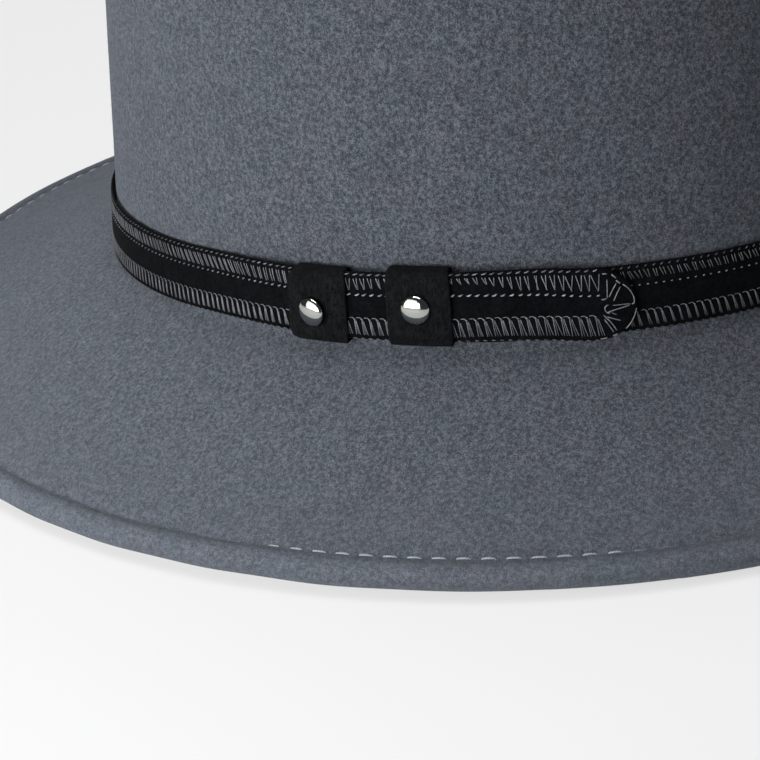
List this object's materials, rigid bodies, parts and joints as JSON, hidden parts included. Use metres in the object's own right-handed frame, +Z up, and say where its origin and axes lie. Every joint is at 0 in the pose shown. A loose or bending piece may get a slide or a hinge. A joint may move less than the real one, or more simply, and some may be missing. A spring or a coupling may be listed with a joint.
{
  "type": "felt hat",
  "caption": "Grey felt hat with a creased crown, a turned-down brim with a stitched folded hem, and a black suede strap held by riveted keepers.",
  "frame": {"origin": "on the surface that the hat rests on, under the middle of the whole hat's box", "axes": "+Z up; -Y towards the front of the hat, +X towards the wearer's left, where the keepers and the tab are"},
  "size_m": [0.2794, 0.319, 0.1338],
  "materials": {
    "felt": "brushed grey felt with a short nap",
    "strap_suede": "black suede, matt",
    "keeper_suede": "black suede with a fine nap, matt",
    "nickel": "polished nickel"
  },
  "bodies": {
    "root": {"felt_body": "felt", "hat_strap": "strap_suede", "keeper_front": "keeper_suede", "keeper_rear": "keeper_suede", "rivet_front": "nickel", "rivet_rear": "nickel"}
  },
  "joints": []
}
